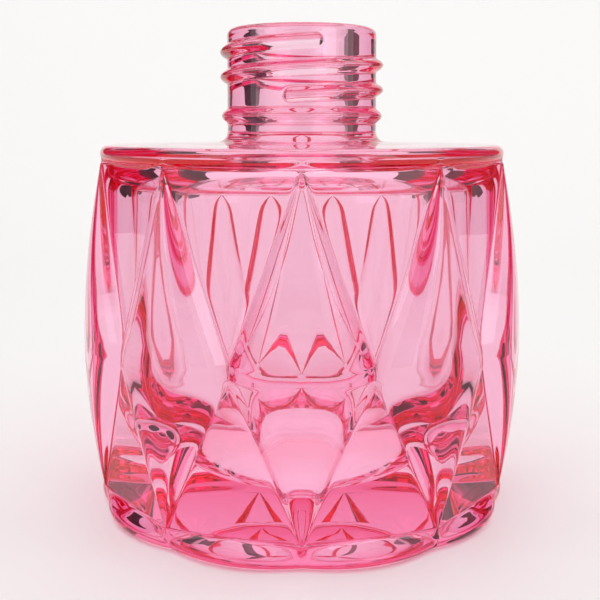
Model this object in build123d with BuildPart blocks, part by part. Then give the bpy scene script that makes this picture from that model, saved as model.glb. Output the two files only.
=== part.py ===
from build123d import *

import os
from math import cos, radians, sin

# A pressed glass bottle in one piece: a round body wrapped in ten raised diamonds, a nearly flat
# shoulder, and a narrow neck with a screw ridge. It stands on z = 0, its axis is Z, and one diamond
# faces -Y. Sizes are in millimetres, angles in degrees.

# Body
BODY_R = 36.3  # on the crown of the diamonds, half way up
BODY_HEIGHT = 59.5  # to the shoulder, where it meets the neck
CROWN_Z = 28.0
RIM_FALL = 0.4  # how far the shoulder slopes down to its rim
RIM_ROUND = 1.35  # half the height of the rounded rim
FOOT_IN = 2.3  # how far the foot lies inside the crown
FOOT_ROUND = 1.6
SEAM_IN = 1.0  # depth of the upright seams in the foot

# Diamonds, and the flat triangles between their tips
DIAMONDS = 10
TOP_TIP_IN = 2.8  # how far the upper tips lie inside the crown
FOOT_TIP_IN = 2.8
FOOT_TIP_Z = 3.8
TOP_VALLEY_IN = 3.4  # corner of an upper triangle, between two diamonds
FOOT_VALLEY_IN = 3.1
VALLEY_GAP = 2.2  # height between the upper and the lower triangle's corner
FLANKS_MEET = 13.4  # the four flanks of a diamond would meet this far outside its crown

# Neck, with the sizes of a 28 mm screw finish
NECK_R = 12.5
NECK_HEIGHT = 18.9
NECK_BLEND = 1.8  # rounding between neck and shoulder
LIP_ROUND = 1.2
BEAD_UP = 4.35  # middle of the bead, above the shoulder
BEAD_WIDTH = 2.3
BEAD_PROUD = 0.95
RIDGE_PROUD = 1.2  # radius of the screw ridge, half of which stands proud
RIDGE_PITCH = 4.13
RIDGE_TURNS = 2.05
RIDGE_UP = 7.6  # where the ridge starts, above the shoulder
RIDGE_START = -98

# Inside
BORE_R = 7.8
BORE_ROUND = 0.8  # rounding at the mouth
BORE_FLARE = 2.5  # rounding where the bore opens into the cavity
SIDE_WALL = 5.9  # between the valleys and the cavity
SHOULDER_WALL = 2.6
FLOOR_WALL = 6.0  # from the table to the middle of the cavity's bowl-shaped floor
CAVITY_TOP_ROUND = 6.0
CAVITY_FLOOR_ROUND = 24.0
STANDING_RING = 3.1  # width of the ring that the bottle stands on
PUNT_DEPTH = 1.5  # hollow inside that ring

FRONT = -90
HALF_STEP = 180 / DIAMONDS
foot_r = BODY_R - FOOT_IN
foot_tip_r = BODY_R - FOOT_TIP_IN
top_tip_r = BODY_R - TOP_TIP_IN
foot_valley_r = BODY_R - FOOT_VALLEY_IN
top_valley_r = BODY_R - TOP_VALLEY_IN
foot_valley_z = CROWN_Z - VALLEY_GAP / 2
top_valley_z = CROWN_Z + VALLEY_GAP / 2
rim_z = BODY_HEIGHT - RIM_FALL
rim_middle_z = rim_z - RIM_ROUND
top_tip_z = rim_middle_z - RIM_ROUND
mouth_z = BODY_HEIGHT + NECK_HEIGHT
cavity_r = top_valley_r - SIDE_WALL
cavity_top_z = BODY_HEIGHT - SHOULDER_WALL
blend_z = rim_z + RIM_FALL / 2
bead_z = BODY_HEIGHT + BEAD_UP
punt_r = foot_r - FOOT_ROUND - STANDING_RING


def polar(radius, angle):
    """Point of the XY plane at a radius and an angle."""
    return (radius * cos(radians(angle)), radius * sin(radians(angle)))


# Front diamond, as a spike whose four flanks pass through the diamond's corners
spike_r = BODY_R + FLANKS_MEET
spike_base_r = cavity_r


def spike_corner(across, out, height):
    """Where the line from the spike's point through a corner of the diamond meets its base plane."""
    reach = (spike_r - spike_base_r) / (spike_r - out)
    return (across * reach, CROWN_Z + (height - CROWN_Z) * reach)


top_valley = polar(top_valley_r, HALF_STEP)
foot_valley = polar(foot_valley_r, HALF_STEP)
right_side = [
    spike_corner(0, top_tip_r, top_tip_z),
    spike_corner(top_valley[1], top_valley[0], top_valley_z),
    spike_corner(foot_valley[1], foot_valley[0], foot_valley_z),
    spike_corner(0, foot_tip_r, FOOT_TIP_Z),
]
left_side = [(-across, height) for across, height in reversed(right_side[1:3])]

with BuildPart() as spike:
    with BuildSketch(Plane((0, -spike_base_r, 0), x_dir=(1, 0, 0), z_dir=(0, -1, 0))) as spike_base:
        Polygon(*right_side, *left_side, align=None)
    loft([spike_base.sketch, Vertex(0, -spike_r, CROWN_Z)])

# Facet form: the core with its ten diamonds, still larger than the round body
top_tip_apothem = top_tip_r * cos(radians(HALF_STEP))
foot_tip_apothem = foot_tip_r * cos(radians(HALF_STEP))
facet_lean = (top_tip_apothem - top_valley_r) / (top_tip_z - top_valley_z)
shoulder_apothem = top_tip_apothem + facet_lean * (BODY_HEIGHT - top_tip_z)

with BuildPart() as facet_form:
    # Foot, with an upright seam below each diamond
    with BuildSketch() as foot_outline:
        with BuildLine():
            for lobe in range(DIAMONDS):
                middle = FRONT + HALF_STEP + 2 * HALF_STEP * lobe
                ThreePointArc(
                    polar(foot_r - SEAM_IN, middle - HALF_STEP),
                    polar(foot_r, middle),
                    polar(foot_r - SEAM_IN, middle + HALF_STEP),
                )
        make_face()
    extrude(amount=FOOT_ROUND)

    # Ledge between the foot and the lower tips
    with BuildSketch(Plane.XY.offset(FOOT_ROUND)):
        add(foot_outline.sketch)
    with BuildSketch(Plane.XY.offset(FOOT_TIP_Z)):
        RegularPolygon(foot_tip_apothem, DIAMONDS, major_radius=False, rotation=FRONT)
    loft(ruled=True)

    # Lower triangles, the gap between the valleys, and upper triangles carried on through the rim
    for height, apothem in [
        (FOOT_TIP_Z, foot_tip_apothem),
        (foot_valley_z, foot_valley_r),
        (top_valley_z, top_valley_r),
        (BODY_HEIGHT, shoulder_apothem),
    ]:
        with BuildSketch(Plane.XY.offset(height)):
            RegularPolygon(apothem, DIAMONDS, major_radius=False, rotation=FRONT)
    loft(ruled=True)
    with PolarLocations(0, DIAMONDS):
        add(spike.part)

with BuildPart() as glass_bottle:
    # Round body, cut back to the facets
    with BuildSketch(Plane.XZ):
        with BuildLine():
            Line((0, 0), (foot_r - FOOT_ROUND, 0))
            RadiusArc((foot_r - FOOT_ROUND, 0), (foot_r, FOOT_ROUND), -FOOT_ROUND)
            Line((foot_r, FOOT_ROUND), (foot_tip_r, FOOT_TIP_Z))
            ThreePointArc((foot_tip_r, FOOT_TIP_Z), (BODY_R, CROWN_Z), (top_tip_r, top_tip_z))
            Line((top_tip_r, top_tip_z), (top_tip_r, rim_middle_z))
            Line((top_tip_r, rim_middle_z), (0, rim_middle_z))
            Line((0, rim_middle_z), (0, 0))
        make_face()
    revolve(axis=Axis.Z)
    add(facet_form.part, mode=Mode.INTERSECT)

    # Round rim and shoulder, over the facets' tips
    with BuildSketch(Plane.XZ):
        with BuildLine():
            Line((0, top_tip_z), (top_tip_r - RIM_ROUND, top_tip_z))
            ThreePointArc(
                (top_tip_r - RIM_ROUND, top_tip_z),
                (top_tip_r, rim_middle_z),
                (top_tip_r - RIM_ROUND, rim_z),
            )
            Line((top_tip_r - RIM_ROUND, rim_z), (0, BODY_HEIGHT))
            Line((0, BODY_HEIGHT), (0, top_tip_z))
        make_face()
    revolve(axis=Axis.Z)

    # Neck with its bead and rounded lip
    with BuildSketch(Plane.XZ):
        with BuildLine():
            Line((0, rim_z), (NECK_R + NECK_BLEND, rim_z))
            Line((NECK_R + NECK_BLEND, rim_z), (NECK_R + NECK_BLEND, blend_z))
            RadiusArc((NECK_R + NECK_BLEND, blend_z), (NECK_R, blend_z + NECK_BLEND), NECK_BLEND)
            Line((NECK_R, blend_z + NECK_BLEND), (NECK_R, bead_z - BEAD_WIDTH / 2))
            ThreePointArc(
                (NECK_R, bead_z - BEAD_WIDTH / 2),
                (NECK_R + BEAD_PROUD, bead_z),
                (NECK_R, bead_z + BEAD_WIDTH / 2),
            )
            Line((NECK_R, bead_z + BEAD_WIDTH / 2), (NECK_R, mouth_z - LIP_ROUND))
            RadiusArc((NECK_R, mouth_z - LIP_ROUND), (NECK_R - LIP_ROUND, mouth_z), -LIP_ROUND)
            Line((NECK_R - LIP_ROUND, mouth_z), (0, mouth_z))
            Line((0, mouth_z), (0, rim_z))
        make_face()
    revolve(axis=Axis.Z)

    # Screw ridge, right-handed, with rounded ends
    ridge_foot = Plane((0, 0, BODY_HEIGHT + RIDGE_UP), x_dir=(*polar(1, RIDGE_START), 0))
    with BuildLine(ridge_foot) as ridge_path:
        Helix(RIDGE_PITCH, RIDGE_PITCH * RIDGE_TURNS, NECK_R)
    with BuildSketch(Plane(ridge_path.line @ 0, z_dir=ridge_path.line % 0)):
        Circle(RIDGE_PROUD)
    sweep(path=ridge_path.line, is_frenet=True)
    with Locations(ridge_path.line @ 0, ridge_path.line @ 1):
        Sphere(RIDGE_PROUD)

    # Bore and cavity
    with BuildSketch(Plane.XZ):
        with BuildLine():
            Line((0, mouth_z), (BORE_R + BORE_ROUND, mouth_z))
            RadiusArc((BORE_R + BORE_ROUND, mouth_z), (BORE_R, mouth_z - BORE_ROUND), -BORE_ROUND)
            Line((BORE_R, mouth_z - BORE_ROUND), (BORE_R, cavity_top_z + BORE_FLARE))
            RadiusArc(
                (BORE_R, cavity_top_z + BORE_FLARE), (BORE_R + BORE_FLARE, cavity_top_z), -BORE_FLARE
            )
            Line((BORE_R + BORE_FLARE, cavity_top_z), (cavity_r - CAVITY_TOP_ROUND, cavity_top_z))
            RadiusArc(
                (cavity_r - CAVITY_TOP_ROUND, cavity_top_z),
                (cavity_r, cavity_top_z - CAVITY_TOP_ROUND),
                CAVITY_TOP_ROUND,
            )
            Line((cavity_r, cavity_top_z - CAVITY_TOP_ROUND), (cavity_r, FLOOR_WALL + CAVITY_FLOOR_ROUND))
            RadiusArc(
                (cavity_r, FLOOR_WALL + CAVITY_FLOOR_ROUND),
                (cavity_r - CAVITY_FLOOR_ROUND, FLOOR_WALL),
                CAVITY_FLOOR_ROUND,
            )
            Line((cavity_r - CAVITY_FLOOR_ROUND, FLOOR_WALL), (0, FLOOR_WALL))
            Line((0, FLOOR_WALL), (0, mouth_z))
        make_face()
    revolve(axis=Axis.Z, mode=Mode.SUBTRACT)

    # Shallow punt inside the ring that the bottle stands on
    with BuildSketch(Plane.XZ):
        with BuildLine():
            Line((0, 0), (punt_r, 0))
            ThreePointArc((punt_r, 0), (0, PUNT_DEPTH), (-punt_r, 0))
            Line((-punt_r, 0), (0, 0))
        make_face()
        split(bisect_by=Plane.YZ)
    revolve(axis=Axis.Z, mode=Mode.SUBTRACT)

glass_bottle.part.label = "glass_bottle"
os.makedirs("parts", exist_ok=True)
export_step(glass_bottle.part, "parts/glass_bottle.step")
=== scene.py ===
"""A pressed glass bottle: clear glass with a film of pink lacquer in its surface, on a pale studio floor."""

import math

import bpy
import numpy as np
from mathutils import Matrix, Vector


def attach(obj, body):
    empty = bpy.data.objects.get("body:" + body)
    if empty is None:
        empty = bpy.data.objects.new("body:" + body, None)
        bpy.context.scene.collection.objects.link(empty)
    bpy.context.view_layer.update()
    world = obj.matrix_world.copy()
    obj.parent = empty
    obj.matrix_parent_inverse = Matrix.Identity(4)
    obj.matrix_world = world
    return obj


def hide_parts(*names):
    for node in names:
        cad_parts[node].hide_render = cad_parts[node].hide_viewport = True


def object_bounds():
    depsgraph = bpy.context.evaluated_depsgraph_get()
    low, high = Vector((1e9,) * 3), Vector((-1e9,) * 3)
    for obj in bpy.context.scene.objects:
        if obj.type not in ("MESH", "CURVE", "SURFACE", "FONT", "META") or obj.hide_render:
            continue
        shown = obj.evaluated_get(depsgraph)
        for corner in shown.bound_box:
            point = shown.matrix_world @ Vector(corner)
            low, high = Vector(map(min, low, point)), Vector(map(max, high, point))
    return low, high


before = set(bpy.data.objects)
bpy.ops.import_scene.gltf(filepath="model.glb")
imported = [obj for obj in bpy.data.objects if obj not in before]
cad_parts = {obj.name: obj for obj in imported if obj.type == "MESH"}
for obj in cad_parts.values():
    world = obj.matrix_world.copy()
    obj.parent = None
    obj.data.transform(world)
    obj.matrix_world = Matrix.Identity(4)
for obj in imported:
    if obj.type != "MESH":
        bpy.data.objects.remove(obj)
CAD_BOX = [list(corner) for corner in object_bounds()]

bl_info = {
    "name": "Pressed glass bottle",
    "version": (1, 0, 0),
    "blender": (4, 5, 0),
    "location": "View3D > Sidebar > Bottle",
    "description": "Builds a faceted glass bottle with a screw neck, and a studio for it",
    "category": "Add Mesh",
}

DIAMONDS = 10
QUARTER = math.pi / 2
HALF_STEP = math.pi / DIAMONDS
FRONT = -QUARTER
NODE = "glass_bottle"
MM = 0.001
MOUTH_Z = (CAD_BOX[1][2] - CAD_BOX[0][2]) / MM

# Mesh: columns in half a diamond and in half a triangle, and how they crowd towards the edge between
COLUMNS = 15
CROWDING = 1.6
NEARLY_ZERO = 1e-5
RIM_FILL_ENDS = -0.2  # turn up the rim, in radians, above which no more glass fills its line
LEAST_FILL = 0.01
FOLLOWED = 3.0  # how far past its edge a diamond's face is followed, in half widths

# Studio, with heights in metres
FLOOR_Z = -0.0001
PAD_Z = -0.00005
DULL = 0.6
GLASS_BOUNCES = 120
FLOOR_BOUNCES = 16
WHITE = (1.0, 1.0, 1.0)
CARD_PAINT = (0.8, 0.8, 0.8)
CARD_LIGHT = (0.84, 0.87, 1.0)
PAD_LIGHT = (0.86, 0.90, 1.0)

# Cards round the bottle: name, azimuth, distance, height of its middle, width, height, colour, strength
CARDS = [
    ("flag_left", 150.0, 600.0, 300.0, 900.0, 640.0, (0.015, 0.010, 0.012), 0.0),
    ("flag_right", 24.0, 600.0, 300.0, 700.0, 640.0, (0.12, 0.095, 0.085), 0.0),
    ("flag_front", -95.0, 700.0, 300.0, 560.0, 640.0, (0.30, 0.27, 0.29), 0.0),
    ("window_right", -48.0, 640.0, 330.0, 240.0, 420.0, CARD_PAINT, 3.0),
    ("window_left", -138.0, 640.0, 330.0, 160.0, 420.0, CARD_PAINT, 2.0),
]


def size(name, description, default, **more):
    """A length in millimetres that a user may change."""
    return bpy.props.FloatProperty(name=name, description=description, default=default, min=0.0, **more)


class BodySizes(bpy.types.PropertyGroup):
    """The faceted body, in millimetres."""

    radius: size("Radius", "On the crown of the diamonds", 36.3)
    height: size("Height", "To the shoulder, where it meets the neck", 59.5)
    crown_z: size("Crown height", "Where the diamonds are widest", 28.0)
    rim_fall: size("Rim fall", "How far the shoulder slopes down to its rim", 0.4)
    rim_round: size("Rim rounding", "Half the height of the rounded rim", 1.35)
    foot_in: size("Foot inset", "How far the foot lies inside the crown", 2.3)
    foot_round: size("Foot rounding", "Rounding under the foot", 1.6)
    seam_in: size("Seam depth", "Depth of the upright seams in the foot", 1.0)
    top_tip_in: size("Upper tip inset", "How far the upper tips lie inside the crown", 2.8)
    foot_tip_in: size("Lower tip inset", "How far the lower tips lie inside the crown", 2.8)
    foot_tip_z: size("Lower tip height", "Height of the lower tips", 3.8)
    top_valley_in: size("Upper valley inset", "Corner of an upper triangle, between two diamonds", 3.4)
    foot_valley_in: size("Lower valley inset", "Corner of a lower triangle, between two diamonds", 3.1)
    valley_gap: size("Valley gap", "Height between the corners of an upper and a lower triangle", 2.2)
    pillow: bpy.props.FloatProperty(
        name="Pillow", description="How square the diamonds' cross-section is", default=4.0
    )
    valley_round: size("Valley rounding", "How much glass fills the lines between the facets", 0.25)
    rim_soften: size("Rim softening", "How much glass fills the line between rim and facets", 0.2)
    punt_r: size("Punt radius", "Hollow under the base", 29.2)
    punt_depth: size("Punt depth", "Depth of that hollow", 1.5)


class NeckSizes(bpy.types.PropertyGroup):
    """The neck and its screw ridge, in millimetres and turns."""

    radius: size("Radius", "Outside of the neck's wall", 12.5)
    blend: size("Blend", "Rounding between neck and shoulder", 1.8)
    lip_round: size("Lip rounding", "Outer rounding of the lip", 1.2)
    fill: size("Fill", "How much glass fills the lines beside the bead and the ridge", 0.2)
    bead_up: size("Bead height", "Middle of the bead above the shoulder", 4.35)
    bead_width: size("Bead width", "Width of the bead", 2.3)
    bead_proud: size("Bead proud", "How far the bead stands out", 0.95)
    ridge_proud: size("Ridge proud", "How far the screw ridge stands out", 1.18)
    ridge_half: size("Ridge half width", "Half the width of the ridge at its foot", 1.15)
    ridge_pitch: size("Ridge pitch", "Rise of the ridge in one turn", 4.13)
    ridge_turns: bpy.props.FloatProperty(
        name="Ridge turns", description="How far round the ridge goes", default=2.05
    )
    ridge_up: size("Ridge start", "Where the ridge starts, above the shoulder", 7.6)
    ridge_start: bpy.props.FloatProperty(
        name="Ridge start angle",
        description="Azimuth where the ridge starts",
        default=math.radians(-98),
        subtype="ANGLE",
    )


class CavitySizes(bpy.types.PropertyGroup):
    """The inside of the bottle, in millimetres."""

    bore_r: size("Bore radius", "Bore of the neck", 7.8)
    bore_round: size("Bore rounding", "Rounding at the mouth", 0.8)
    flare: size("Flare", "Rounding where the bore opens into the cavity", 2.5)
    radius: size("Cavity radius", "Inside of the body", 27.0)
    shoulder_wall: size("Shoulder wall", "Glass above the cavity", 2.6)
    floor: size("Floor", "Glass under the middle of the cavity", 6.0)
    top_round: size("Top rounding", "Rounding under the shoulder", 6.0)
    floor_round: size("Floor rounding", "Rounding above the floor", 24.0)


class GlassFinish(bpy.types.PropertyGroup):
    """Colours and gloss of the glass."""

    clear: bpy.props.FloatVectorProperty(
        name="Clear glass", description="Tint of the bare glass", subtype="COLOR", default=(1.0, 1.0, 1.0)
    )
    lacquer: bpy.props.FloatVectorProperty(
        name="Lacquer",
        description="What the lacquer lets through",
        subtype="COLOR",
        default=(0.962, 0.03, 0.45),
    )
    density: bpy.props.FloatProperty(
        name="Density", description="Strength of the lacquer per metre", default=2250.0
    )
    film: size("Lacquer thickness", "Thickness of the lacquer", 0.15)
    film_gap: size("Lacquer gap", "How deep the lacquer lies in the surface", 0.015)
    base_share: bpy.props.FloatProperty(
        name="Base share", description="Lacquer on the underside, as a share of the rest", default=0.34
    )
    ior: bpy.props.FloatProperty(name="IOR", description="Index of refraction", default=1.52)
    wave: size("Wave", "Height of the waves that pressing leaves in the glass", 0.02)
    wave_scale: bpy.props.FloatProperty(name="Wave scale", description="Waves per metre", default=140.0)


class StudioSizes(bpy.types.PropertyGroup):
    """Camera and light."""

    distance: size("Camera distance", "From the bottle's axis, in millimetres", 163.0)
    eye: size("Eye height", "Height of the camera, in millimetres", 62.5)
    pitch: bpy.props.FloatProperty(
        name="Pitch", description="Downward tilt", default=math.radians(4), subtype="ANGLE"
    )
    lens: bpy.props.FloatProperty(name="Lens", description="Focal length on a 36 mm sensor", default=57.72)
    shift_x: bpy.props.FloatProperty(name="Shift X", description="Sideways framing", default=-0.003)
    shift_y: bpy.props.FloatProperty(name="Shift Y", description="Upward framing", default=-0.1812)
    pad: size("Light pad", "Radius of the pad under the bottle, in millimetres", 31.0)
    pad_glow: bpy.props.FloatProperty(
        name="Pad glow", description="Strength of the pad's light", default=0.38
    )
    sky: bpy.props.FloatProperty(name="Sky", description="Strength of the light all round", default=1.08)
    floor: bpy.props.FloatVectorProperty(
        name="Floor", description="Colour of the floor", subtype="COLOR", default=(0.92, 0.91, 0.905)
    )


def smooth_larger(a, b, blend):
    """The larger of two surfaces, with the line where they meet filled."""
    return 0.5 * (a + b + np.sqrt((a - b) ** 2 + blend**2))


def quarter(count):
    """Angles of a quarter round, without its first."""
    return np.linspace(0.0, QUARTER, count + 1)[1:]


class Rings:
    """A closed surface of rings round the axis, from the base's middle over the lip to the cavity's floor."""

    def __init__(self):
        self.angles = []
        self.radii = []
        self.heights = []
        self.shares = []

    def add(self, angles, radius, height, share):
        """Adds a ring, with its share of the lacquer's full thickness."""
        full = np.ones_like(angles)
        self.angles.append(angles)
        self.radii.append(full * radius)
        self.heights.append(full * height)
        self.shares.append(share)

    def points(self):
        """Every ring's points, in metres."""
        angles = np.array(self.angles)
        radii = np.array(self.radii) * MM
        return np.stack([radii * np.cos(angles), radii * np.sin(angles), np.array(self.heights) * MM], -1)

    def film(self, gap, thickness):
        """Rings of a thin closed layer under the lacquered surface, out and back again."""
        points = self.points()
        along = np.roll(points, -1, axis=1) - np.roll(points, 1, axis=1)
        normals = np.cross(along, np.gradient(points, axis=0))
        normals /= np.linalg.norm(normals, axis=-1, keepdims=True)
        shares = np.array(self.shares)
        coated = shares > 0.0
        depth = (gap + thickness * shares[:, None, None]) * MM
        outer = (points - normals * gap * MM)[coated]
        inner = (points - normals * depth)[coated]
        return np.concatenate([outer, inner[::-1]])


def grid_mesh(name, points):
    """A closed mesh through rings of points, with its first and last rings drawn together into points."""
    inner = points[1:-1]
    count, columns, _ = inner.shape
    here = np.arange(columns)
    after = (here + 1) % columns
    low = (np.arange(count - 1) * columns)[:, None]
    quads = np.stack([low + here, low + after, low + columns + after, low + columns + here], -1)
    start_pole = count * columns
    last = start_pole - columns
    start_fan = np.stack([np.full_like(here, start_pole), after, here], -1)
    end_fan = np.stack([np.full_like(here, start_pole + 1), last + here, last + after], -1)
    poles = [points[0].mean(axis=0).tolist(), points[-1].mean(axis=0).tolist()]
    faces = [*quads.reshape(-1, 4).tolist(), *start_fan.tolist(), *end_fan.tolist()]
    mesh = bpy.data.meshes.new(name)
    mesh.from_pydata([*inner.reshape(-1, 3).tolist(), *poles], [], faces)
    mesh.polygons.foreach_set("use_smooth", np.ones(len(faces), dtype=bool))
    return mesh


class Facets:
    """Radius of the faceted body at an azimuth and a height."""

    def __init__(self, body):
        self.body = body
        self.rim_z = body.height - body.rim_fall
        self.rim_middle_z = self.rim_z - body.rim_round
        self.top_tip_z = self.rim_middle_z - body.rim_round
        self.top_tip_r = body.radius - body.top_tip_in
        self.foot_tip_r = body.radius - body.foot_tip_in
        self.top_valley_r = body.radius - body.top_valley_in
        self.foot_valley_r = body.radius - body.foot_valley_in
        self.top_valley_z = body.crown_z + body.valley_gap / 2
        self.foot_valley_z = body.crown_z - body.valley_gap / 2
        self.foot_r = body.radius - body.foot_in

    def apothem(self, z):
        """Distance of the flat triangles from the axis."""
        shrink = math.cos(HALF_STEP)
        heights = [self.body.foot_tip_z, self.foot_valley_z, self.top_valley_z, self.top_tip_z]
        distances = [self.foot_tip_r * shrink, self.foot_valley_r, self.top_valley_r, self.top_tip_r * shrink]
        lean = (distances[3] - distances[2]) / (heights[3] - heights[2])
        return np.interp(z, heights, distances) + max(z - heights[3], 0.0) * lean

    def crown(self, z):
        """Radius on the middle line of a diamond."""
        body = self.body
        if z > body.crown_z:
            share = (z - body.crown_z) / (self.top_tip_z - body.crown_z)
            return body.radius - body.top_tip_in * share**2
        share = (body.crown_z - z) / (body.crown_z - body.foot_tip_z)
        return body.radius - body.foot_tip_in * share**2

    def half_width(self, z):
        """Azimuth from a diamond's middle line to its edge."""
        if z >= self.top_tip_z or z <= self.body.foot_tip_z:
            return 0.0
        above = (self.top_tip_z - z) / (self.top_tip_z - self.top_valley_z)
        below = (z - self.body.foot_tip_z) / (self.foot_valley_z - self.body.foot_tip_z)
        share = min(above, below, 1.0)
        return HALF_STEP - math.atan(math.tan(HALF_STEP) * (1.0 - share))

    def flat(self, off, z):
        """Radius of the flat triangles' planes, off the nearest diamond's middle line."""
        return self.apothem(z) / np.cos(HALF_STEP - off)

    def pillow(self, off, z, edge):
        """Radius of a diamond's rounded face, off its middle line. It carries on down past its edge."""
        edge_r = float(self.flat(np.array(edge), z))
        half = edge_r * math.sin(edge)
        low = edge_r * math.cos(edge)
        high = max(self.crown(z), low)
        near = np.zeros_like(off)
        far = np.full_like(off, high * math.tan(HALF_STEP) + 1.0)
        for _ in range(40):
            across = 0.5 * (near + far)
            out = low + (high - low) * (1.0 - np.minimum(across / half, FOLLOWED) ** self.body.pillow)
            beyond = across * np.cos(off) > out * np.sin(off)
            far = np.where(beyond, across, far)
            near = np.where(beyond, near, across)
        return np.hypot(across, out)

    def radius(self, off, z):
        """Radius of the body's surface."""
        flat = self.flat(off, z)
        edge = self.half_width(z)
        if edge < 1e-4:
            return flat
        return smooth_larger(flat, self.pillow(off, z, edge), self.body.valley_round)

    def foot(self, off):
        """Outline of the foot: shallow lobes that meet in seams under the diamonds."""
        seam = self.foot_r - self.body.seam_in
        half = seam * math.sin(HALF_STEP)
        rise = self.foot_r - seam * math.cos(HALF_STEP)
        bow = (half**2 + rise**2) / (2.0 * rise)
        centre = self.foot_r - bow
        turn = HALF_STEP - off
        return centre * np.cos(turn) + np.sqrt(bow**2 - (centre * np.sin(turn)) ** 2)


def spread_columns(edge):
    """Azimuths off a diamond's middle line, from that line to the middle of the triangle beside it."""
    even = np.linspace(0.0, 1.0, COLUMNS)
    inside = edge * (1.0 - (1.0 - even) ** CROWDING)
    outside = edge + (HALF_STEP - edge) * even**CROWDING
    return np.concatenate([inside, outside[1:]])


def around(edge):
    """Azimuths right round, and how far each lies off its diamond's middle line."""
    half = spread_columns(edge)
    one = np.concatenate([-half[::-1], half[1:]])[:-1]
    starts = FRONT + 2 * HALF_STEP * np.arange(DIAMONDS)
    return (starts[:, None] + one[None, :]).ravel(), np.abs(np.tile(one, DIAMONDS))


def base_rings(rings, facets, base_share):
    """Punt, foot and the ledge up to the lower tips."""
    body = facets.body
    even, off = around(0.5 * HALF_STEP)
    foot = facets.foot(off)
    for share in np.linspace(0.0, 1.0, 14):
        height = body.punt_depth * (1.0 - share**2)
        rings.add(even, body.punt_r * max(share, NEARLY_ZERO), height, base_share)
    for turn in np.linspace(0.0, QUARTER, 9):
        inset = body.foot_round * (1.0 - math.sin(turn))
        rings.add(even, foot - inset, body.foot_round * (1.0 - math.cos(turn)), 1.0)
    ledge = facets.flat(off, body.foot_tip_z)
    for share in np.linspace(0.0, 1.0, 9)[1:]:
        ease = share * share * (3.0 - 2.0 * share)
        height = body.foot_round + (body.foot_tip_z - body.foot_round) * share
        rings.add(even, foot + (ledge - foot) * ease, height, 1.0)


def facet_rings(rings, facets):
    """Diamonds and triangles, and the rounded rim over their tips."""
    body = facets.body
    for z in np.linspace(body.foot_tip_z, facets.top_tip_z, 170)[1:-1]:
        angles, off = around(facets.half_width(z))
        rings.add(angles, facets.radius(off, z), z, 1.0)
    even, off = around(0.5 * HALF_STEP)
    for turn in np.linspace(-QUARTER, QUARTER, 29):
        height = facets.rim_middle_z + body.rim_round * math.sin(turn)
        rim = facets.top_tip_r - body.rim_round * (1.0 - math.cos(turn))
        if turn < 0.0:
            # Under its middle, the rim grows out of the triangles
            under = np.minimum(facets.flat(off, height), facets.top_tip_r)
            fill = body.rim_soften * math.cos(turn) ** 0.5 if turn < RIM_FILL_ENDS else 0.0
            rim = smooth_larger(under, rim, (fill + LEAST_FILL) * 0.5)
        rings.add(even, rim, height, 1.0)


def neck_radius(neck, facets, angles, z):
    """Radius of the neck with its bead and screw ridge."""
    bead_z = facets.body.height + neck.bead_up
    half_bead = neck.bead_width / 2
    bead = neck.radius + neck.bead_proud * (1.0 - ((z - bead_z) / half_bead) ** 2)
    radius = smooth_larger(np.full_like(angles, neck.radius), bead, neck.fill)
    start_z = facets.body.height + neck.ridge_up
    turned = np.mod(angles - neck.ridge_start, 2 * math.pi) / (2 * math.pi)
    for turn in range(-1, math.ceil(neck.ridge_turns) + 1):
        along = turned + turn
        centre = start_z + neck.ridge_pitch * along
        past = np.maximum(np.maximum(-along, along - neck.ridge_turns), 0.0)
        drop = (past * 2 * math.pi * neck.radius / neck.ridge_half) ** 2
        height = neck.ridge_proud * (1.0 - ((z - centre) / neck.ridge_half) ** 2 - drop)
        radius = smooth_larger(radius, neck.radius + height, neck.fill)
    return radius


def neck_rings(rings, facets, neck):
    """Shoulder, blend, neck wall with bead and ridge, and lip."""
    body = facets.body
    even, _ = around(0.5 * HALF_STEP)
    inner = neck.radius + neck.blend
    outer = facets.top_tip_r - body.rim_round
    for share in np.linspace(0.0, 1.0, 12)[1:]:
        rings.add(even, outer + (inner - outer) * share, facets.rim_z + body.rim_fall * share, 1.0)
    for turn in quarter(8):
        height = body.height + neck.blend * (1.0 - math.cos(turn))
        rings.add(even, inner - neck.blend * math.sin(turn), height, 1.0)
    for z in np.linspace(body.height + neck.blend, MOUTH_Z - neck.lip_round, 120)[1:]:
        rings.add(even, neck_radius(neck, facets, even, z), z, 1.0)
    for turn in quarter(8):
        height = MOUTH_Z - neck.lip_round * (1.0 - math.sin(turn))
        rings.add(even, neck.radius - neck.lip_round * (1.0 - math.cos(turn)), height, 1.0)


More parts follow.
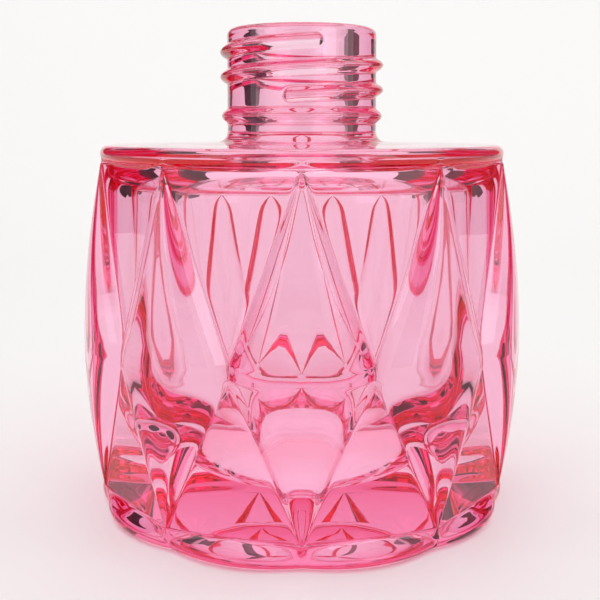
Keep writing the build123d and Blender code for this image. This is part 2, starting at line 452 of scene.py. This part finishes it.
def cavity_rings(rings, facets, cavity):
    """Bore, flare and cavity, down to the middle of its floor. Only the edge of the mouth is lacquered."""
    even, _ = around(0.5 * HALF_STEP)
    top_z = facets.body.height - cavity.shoulder_wall
    rings.add(even, cavity.bore_r + cavity.bore_round, MOUTH_Z, 1.0)
    profile = []
    for turn in quarter(6):
        radius = cavity.bore_r + cavity.bore_round * (1.0 - math.sin(turn))
        profile.append((radius, MOUTH_Z - cavity.bore_round * (1.0 - math.cos(turn))))
    for z in np.linspace(MOUTH_Z - cavity.bore_round, top_z + cavity.flare, 20)[1:]:
        profile.append((cavity.bore_r, z))
    for turn in quarter(8):
        radius = cavity.bore_r + cavity.flare * (1.0 - math.cos(turn))
        profile.append((radius, top_z + cavity.flare * (1.0 - math.sin(turn))))
    flat_r = cavity.radius - cavity.top_round
    start_r = cavity.bore_r + cavity.flare
    for share in np.linspace(0.0, 1.0, 8)[1:]:
        profile.append((start_r + (flat_r - start_r) * share, top_z))
    for turn in quarter(12):
        height = top_z - cavity.top_round * (1.0 - math.cos(turn))
        profile.append((flat_r + cavity.top_round * math.sin(turn), height))
    for z in np.linspace(top_z - cavity.top_round, cavity.floor + cavity.floor_round, 24)[1:]:
        profile.append((cavity.radius, z))
    for turn in quarter(14):
        radius = cavity.radius - cavity.floor_round * (1.0 - math.cos(turn))
        profile.append((radius, cavity.floor + cavity.floor_round * (1.0 - math.sin(turn))))
    for share in np.linspace(1.0, 0.0, 8)[1:]:
        profile.append(((cavity.radius - cavity.floor_round) * max(share, NEARLY_ZERO), cavity.floor))
    for radius, height in profile:
        rings.add(even, radius, height, 0.0)


def bottle_rings(scene):
    """Every ring of the glass, with the lacquer's share under each."""
    facets = Facets(scene.bottle_body)
    rings = Rings()
    base_rings(rings, facets, scene.bottle_finish.base_share)
    facet_rings(rings, facets)
    neck_rings(rings, facets, scene.bottle_neck)
    cavity_rings(rings, facets, scene.bottle_cavity)
    return rings


class Socket:
    """A node's output, which can be given to the next node."""

    def __init__(self, tree, socket):
        self.tree = tree
        self.socket = socket

    @classmethod
    def node(cls, tree, kind, settings=None, output=0, **values):
        """Any node: its type, its settings, and the values or links of its sockets. Gives an output."""
        made = tree.nodes.new(kind)
        for key, value in (settings or {}).items():
            setattr(made, key, value)
        for key, value in values.items():
            if isinstance(value, cls):
                value.feed(made.inputs[key])
            else:
                made.inputs[key].default_value = value
        return cls(tree, made.outputs[output])

    def feed(self, target):
        """Links this output to an input."""
        self.tree.links.new(self.socket, target)


def plain_material(name, colour, **values):
    """A material with constant values on its shader's sockets, named with _ for each space."""
    material = bpy.data.materials.new(name)
    material.use_nodes = True
    shader = material.node_tree.nodes["Principled BSDF"]
    shader.inputs["Base Color"].default_value = (*colour, 1.0)
    for key, value in values.items():
        shader.inputs[key.replace("_", " ")].default_value = value
    return material


def glass_material(finish):
    """Clear pressed glass with the slow waves that pressing leaves."""
    material = plain_material(
        "pink_glass", finish.clear, Roughness=0.0, IOR=finish.ior, Transmission_Weight=1.0
    )
    tree = material.node_tree
    place = Socket.node(tree, "ShaderNodeTexCoord", output="Object")
    in_space = {"noise_dimensions": "3D"}
    slow = Socket.node(
        tree, "ShaderNodeTexNoise", in_space, Vector=place, Scale=finish.wave_scale, Detail=1.0
    )
    bump = Socket.node(tree, "ShaderNodeBump", Strength=1.0, Distance=finish.wave * MM, Height=slow)
    bump.feed(tree.nodes["Principled BSDF"].inputs["Normal"])
    return material


def film_material(finish):
    """Transparent pink lacquer, in one optical body with the glass, so that it bends no light itself."""
    material = plain_material("pink_lacquer", WHITE, Roughness=0.0, IOR=1.0, Transmission_Weight=1.0)
    tree = material.node_tree
    colour = (*finish.lacquer, 1.0)
    depth = Socket.node(tree, "ShaderNodeVolumeAbsorption", Color=colour, Density=finish.density)
    depth.feed(tree.nodes["Material Output"].inputs["Volume"])
    return material


def link(name, data):
    """A new object in the scene."""
    thing = bpy.data.objects.new(name, data)
    bpy.context.scene.collection.objects.link(thing)
    return thing


def glow(name, corners, colour, emission, strength):
    """A flat studio card, dark or glowing, seen only in the glass."""
    mesh = bpy.data.meshes.new(name)
    mesh.from_pydata(corners, [], [tuple(range(len(corners)))])
    mesh.materials.append(
        plain_material(
            name, colour, Roughness=DULL, Emission_Color=(*emission, 1.0), Emission_Strength=strength
        )
    )
    made = link(name, mesh)
    made.visible_diffuse = False
    return made


def upright_card(name, azimuth, distance, middle, width, height, colour, strength):
    """An upright card that faces the bottle. Lengths in millimetres."""
    x, z = width * MM / 2, height * MM / 2
    corners = [(-x, 0, -z), (x, 0, -z), (x, 0, z), (-x, 0, z)]
    made = glow(name, corners, colour, CARD_LIGHT, strength)
    turn = math.radians(azimuth)
    made.location = (distance * MM * math.cos(turn), distance * MM * math.sin(turn), middle * MM)
    made.rotation_euler = (0.0, 0.0, turn + QUARTER)
    made.visible_camera = False
    made.visible_shadow = False


def light_pad(studio):
    """A small glowing pad on the floor under the bottle."""
    turns = np.linspace(0.0, 2 * math.pi, 49)[:-1]
    radius = studio.pad * MM
    corners = [(radius * math.cos(turn), radius * math.sin(turn), 0.0) for turn in turns]
    pad = glow("light_pad", corners, CARD_PAINT, PAD_LIGHT, studio.pad_glow)
    pad.location.z = PAD_Z


def backdrop_mesh():
    """A floor that curves up behind the bottle, so that no horizon shows. Lengths in metres."""
    reach, start, bend, top = 1.6, 0.25, 0.5, 1.5
    profile = [(-reach, 0.0), (start, 0.0)]
    for turn in quarter(24):
        profile.append((start + bend * math.sin(turn), bend * (1.0 - math.cos(turn))))
    profile.append((start + bend, top))
    points = [(side * reach, y, z) for y, z in profile for side in (-1, 1)]
    faces = [(2 * row, 2 * row + 1, 2 * row + 3, 2 * row + 2) for row in range(len(profile) - 1)]
    mesh = bpy.data.meshes.new("floor")
    mesh.from_pydata(points, [], faces)
    mesh.polygons.foreach_set("use_smooth", np.ones(len(faces), dtype=bool))
    return mesh


def aim_camera(scene, studio):
    """The camera, level with the shoulder and tilted slightly down."""
    camera = link("camera", bpy.data.cameras.new("camera"))
    camera.location = (0.0, -studio.distance * MM, studio.eye * MM)
    camera.rotation_euler = (QUARTER - studio.pitch, 0.0, 0.0)
    camera.data.lens = studio.lens
    camera.data.shift_x = studio.shift_x
    camera.data.shift_y = studio.shift_y
    camera.data.clip_start = 0.001
    scene.camera = camera


def follow_light(scene):
    """Lets light go on through the many surfaces of clear glass without losing any of it."""
    scene.view_settings.view_transform = "Standard"
    scene.cycles.max_bounces = GLASS_BOUNCES
    scene.cycles.transmission_bounces = GLASS_BOUNCES
    scene.cycles.glossy_bounces = GLASS_BOUNCES
    scene.cycles.diffuse_bounces = FLOOR_BOUNCES
    scene.cycles.blur_glossy = 0.0


class BOTTLE_OT_glass(bpy.types.Operator):
    """Builds the bottle's glass in place of its plain solid"""

    bl_idname = "bottle.glass"
    bl_label = "Glass bottle"

    def execute(self, context):
        scene = context.scene
        bottle = link("pressed_glass", grid_mesh("pressed_glass", bottle_rings(scene).points()))
        bottle.data.materials.append(glass_material(scene.bottle_finish))
        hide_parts(NODE)
        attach(bottle, "root")
        return {"FINISHED"}


class BOTTLE_OT_lacquer(bpy.types.Operator):
    """Builds the film of lacquer in the glass's outer surface"""

    bl_idname = "bottle.lacquer"
    bl_label = "Lacquer"

    def execute(self, context):
        scene = context.scene
        finish = scene.bottle_finish
        rings = bottle_rings(scene)
        film = link("pink_lacquer", grid_mesh("pink_lacquer", rings.film(finish.film_gap, finish.film)))
        film.data.materials.append(film_material(finish))
        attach(film, "root")
        return {"FINISHED"}


class BOTTLE_OT_studio(bpy.types.Operator):
    """Builds the floor, the light and the camera"""

    bl_idname = "bottle.studio"
    bl_label = "Studio"

    def execute(self, context):
        scene = context.scene
        studio = scene.bottle_studio
        floor = link("floor", backdrop_mesh())
        floor.location.z = FLOOR_Z
        floor.data.materials.append(plain_material("floor", studio.floor, Roughness=DULL))
        world = bpy.data.worlds.new("studio")
        scene.world = world
        world.use_nodes = True
        sky = world.node_tree.nodes["Background"]
        sky.inputs["Color"].default_value = (*WHITE, 1.0)
        sky.inputs["Strength"].default_value = studio.sky
        aim_camera(scene, studio)
        follow_light(scene)
        for row in CARDS:
            upright_card(*row)
        light_pad(studio)
        return {"FINISHED"}


class BOTTLE_PT_panel(bpy.types.Panel):
    """Lists the bottle's operators"""

    bl_label = "Pressed glass bottle"
    bl_idname = "BOTTLE_PT_panel"
    bl_space_type = "VIEW_3D"
    bl_region_type = "UI"
    bl_category = "Bottle"

    def draw(self, context):
        for step in STEPS:
            self.layout.operator(step.bl_idname)


GROUPS = {
    "bottle_body": BodySizes,
    "bottle_neck": NeckSizes,
    "bottle_cavity": CavitySizes,
    "bottle_finish": GlassFinish,
    "bottle_studio": StudioSizes,
}
STEPS = [BOTTLE_OT_glass, BOTTLE_OT_lacquer, BOTTLE_OT_studio]


def register():
    for kind in [*GROUPS.values(), *STEPS, BOTTLE_PT_panel]:
        bpy.utils.register_class(kind)
    for name, kind in GROUPS.items():
        setattr(bpy.types.Scene, name, bpy.props.PointerProperty(type=kind))


def unregister():
    for name in GROUPS:
        delattr(bpy.types.Scene, name)
    for kind in [BOTTLE_PT_panel, *STEPS, *GROUPS.values()]:
        bpy.utils.unregister_class(kind)


def main():
    register()
    bpy.ops.bottle.glass()
    bpy.ops.bottle.lacquer()
    bpy.ops.bottle.studio()


if __name__ == "__main__":
    main()
